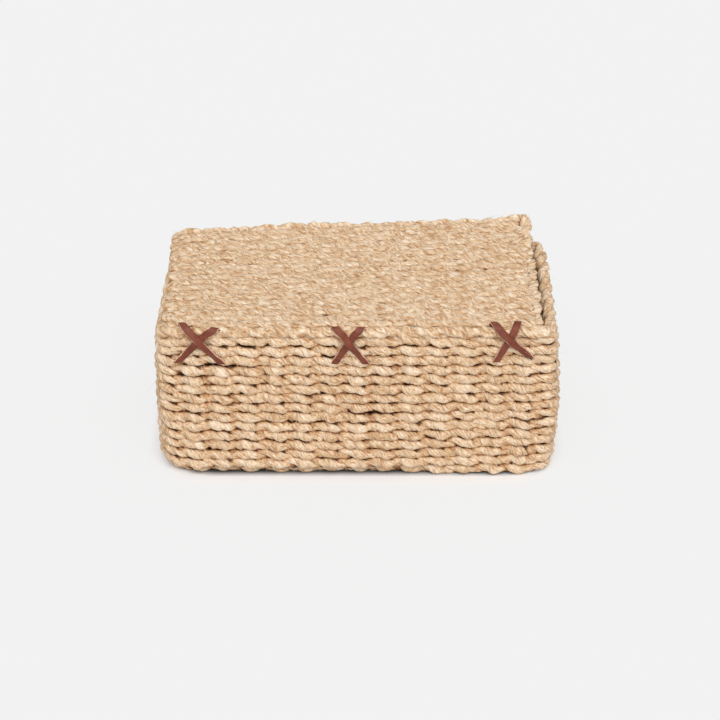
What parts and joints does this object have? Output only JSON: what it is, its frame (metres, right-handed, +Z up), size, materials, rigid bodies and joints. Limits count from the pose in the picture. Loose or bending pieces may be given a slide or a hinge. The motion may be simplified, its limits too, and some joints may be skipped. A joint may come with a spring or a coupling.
{
  "type": "lidded woven napkin box",
  "caption": "Rectangular box twined from straw-coloured plant-fibre cord, with a flat woven lid hinged on crossed leather laces, for folded napkins.",
  "frame": {"origin": "middle of the underside, on the surface that the box stands on", "axes": "+X along the width, -Y towards the laced front edge, +Z up"},
  "size_m": [0.254, 0.153, 0.1169],
  "materials": {
    "wall_fibre": "matt twisted plant-fibre cord, straw coloured",
    "lid_fibre": "matt twisted plant-fibre cord, pale straw",
    "base_fibre": "matt twisted plant-fibre cord",
    "stake_fibre": "matt twisted plant-fibre cord",
    "lace_leather": "satin brown leather with pale cut edges"
  },
  "bodies": {
    "box": {"wall_weft": "wall_fibre", "rim_border": "wall_fibre", "base_weft": "base_fibre", "cross_stake_01": "stake_fibre", "cross_stake_02": "stake_fibre", "cross_stake_03": "stake_fibre", "cross_stake_04": "stake_fibre", "cross_stake_05": "stake_fibre", "cross_stake_06": "stake_fibre", "cross_stake_07": "stake_fibre", "cross_stake_08": "stake_fibre", "cross_stake_09": "stake_fibre", "cross_stake_10": "stake_fibre", "cross_stake_11": "stake_fibre", "cross_stake_12": "stake_fibre", "cross_stake_13": "stake_fibre", "long_stake_01": "stake_fibre", "long_stake_02": "stake_fibre", "long_stake_03": "stake_fibre", "long_stake_04": "stake_fibre", "long_stake_05": "stake_fibre", "long_stake_06": "stake_fibre", "long_stake_07": "stake_fibre", "corner_stake_01": "stake_fibre", "corner_stake_02": "stake_fibre", "corner_stake_03": "stake_fibre", "corner_stake_04": "stake_fibre", "lace_left": "lace_leather", "lace_middle": "lace_leather", "lace_right": "lace_leather"},
    "lid": {"lid_weft": "lid_fibre", "lid_front_border": "lid_fibre", "lid_back_border": "lid_fibre", "lid_warp_01": "stake_fibre", "lid_warp_02": "stake_fibre", "lid_warp_03": "stake_fibre", "lid_warp_04": "stake_fibre", "lid_warp_05": "stake_fibre", "lid_warp_06": "stake_fibre", "lid_warp_07": "stake_fibre", "lid_warp_08": "stake_fibre", "lid_warp_09": "stake_fibre", "lid_warp_10": "stake_fibre", "lid_warp_11": "stake_fibre", "lid_warp_12": "stake_fibre", "lid_warp_13": "stake_fibre"}
  },
  "joints": [
    {"name": "lid_hinge", "type": "hinge", "parent": "box", "child": "lid", "pos_m": [0, -0.075, 0.09935], "axis": [1, 0, 0], "range_deg": [0, 150], "deforming": ["lace_left", "lace_middle", "lace_right"]}
  ]
}
